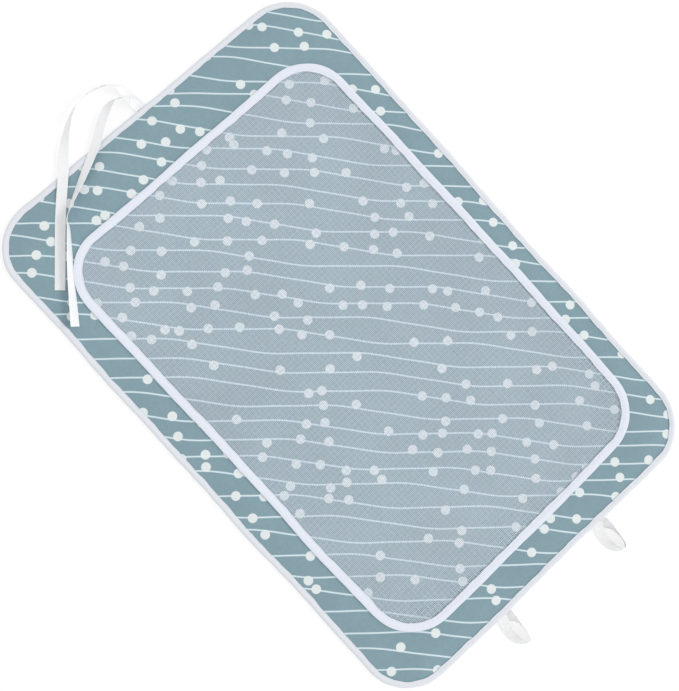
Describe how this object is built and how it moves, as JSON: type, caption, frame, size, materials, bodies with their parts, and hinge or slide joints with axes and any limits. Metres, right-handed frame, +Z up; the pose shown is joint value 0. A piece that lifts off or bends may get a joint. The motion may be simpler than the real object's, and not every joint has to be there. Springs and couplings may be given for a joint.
{
  "type": "ironing pad",
  "caption": "Padded table-top ironing mat with a bound edge, hanging loops and tie ribbons, and a loose bound net pressing cloth laid on it.",
  "frame": {"origin": "middle of the pad's underside, where it lies on the table", "axes": "+X along the pad towards the hanging loops, +Y across it, +Z up from the table"},
  "size_m": [0.8146, 0.48, 0.0186],
  "materials": {
    "printed_cotton": "plain-weave cotton, greyed teal, printed with thin pale wavy lines and off-white dots, matt",
    "wadding": "needled cotton wadding, matt",
    "barrier_film": "thin metallised film, satin",
    "foam": "thin open-cell foam, matt",
    "backing": "pale grey plain-weave lining, matt",
    "pad_tape": "bias-cut cotton tape, lavender white, matt",
    "cloth_tape": "bias-cut cotton tape, near white, matt",
    "net": "fine translucent woven polyester net, slight sheen",
    "thread": "spun polyester sewing thread",
    "ribbon": "woven white twill ribbon, soft sheen"
  },
  "bodies": {
    "pad": {"backing_cloth": "backing", "foam_sheet": "foam", "heat_barrier_film": "barrier_film", "cotton_wadding": "wadding", "printed_cover": "printed_cotton", "pad_binding": "pad_tape", "pad_needle_thread": "thread", "pad_bobbin_thread": "thread"},
    "pressing_cloth": {"cloth_net": "net", "cloth_binding": "cloth_tape", "cloth_needle_thread": "thread", "cloth_bobbin_thread": "thread"},
    "outer_tie_ribbon": {"outer_tie": "ribbon"},
    "inner_tie_ribbon": {"inner_tie": "ribbon"},
    "far_loop": {"far_hanging_loop": "ribbon"},
    "near_loop": {"near_hanging_loop": "ribbon"}
  },
  "joints": [
    {"name": "cloth_lift", "type": "slide", "parent": "pad", "child": "pressing_cloth", "axis": [0, 0, 1], "range_m": [0, 0.3]},
    {"name": "outer_tie_swing", "type": "hinge", "parent": "pad", "child": "outer_tie_ribbon", "pos_m": [-0.3603, 0.0057, 0.00204], "axis": [-1, 0, 0], "range_deg": [0, 105]},
    {"name": "inner_tie_swing", "type": "hinge", "parent": "outer_tie_ribbon", "child": "inner_tie_ribbon", "pos_m": [-0.3603, 0.0034, 0.00284], "axis": [-1, 0, 0], "range_deg": [0, 60]},
    {"name": "far_loop_swing", "type": "hinge", "parent": "pad", "child": "far_loop", "pos_m": [0.3603, 0.0755, 0.0033], "axis": [0, -1, 0], "range_deg": [0, 110]},
    {"name": "near_loop_swing", "type": "hinge", "parent": "pad", "child": "near_loop", "pos_m": [0.3603, -0.0813, 0.0033], "axis": [0, -1, 0], "range_deg": [0, 110]}
  ]
}
